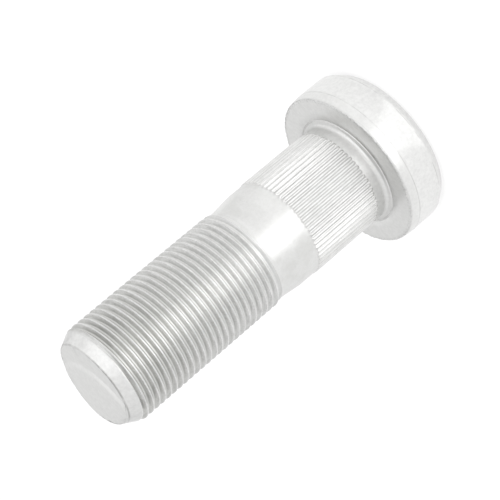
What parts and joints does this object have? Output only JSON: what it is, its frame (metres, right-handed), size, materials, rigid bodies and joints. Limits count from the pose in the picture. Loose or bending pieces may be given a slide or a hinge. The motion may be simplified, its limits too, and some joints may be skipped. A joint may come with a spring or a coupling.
{
  "type": "wheel stud",
  "caption": "Press-in wheel stud: a round head, a serrated shank that grips the hub, and a long fine thread for the wheel nut.",
  "frame": {"origin": "centre of the head's flat outer face, on which the stud stands", "axes": "+Z along the stud's axis from the head to the threaded end; X and Y square to it, with the groove between two serrations on +X"},
  "size_m": [0.0354, 0.0354, 0.08],
  "materials": {
    "zinc_plated_steel": "satin"
  },
  "bodies": {
    "root": {"wheel_stud": "zinc_plated_steel"}
  },
  "joints": []
}
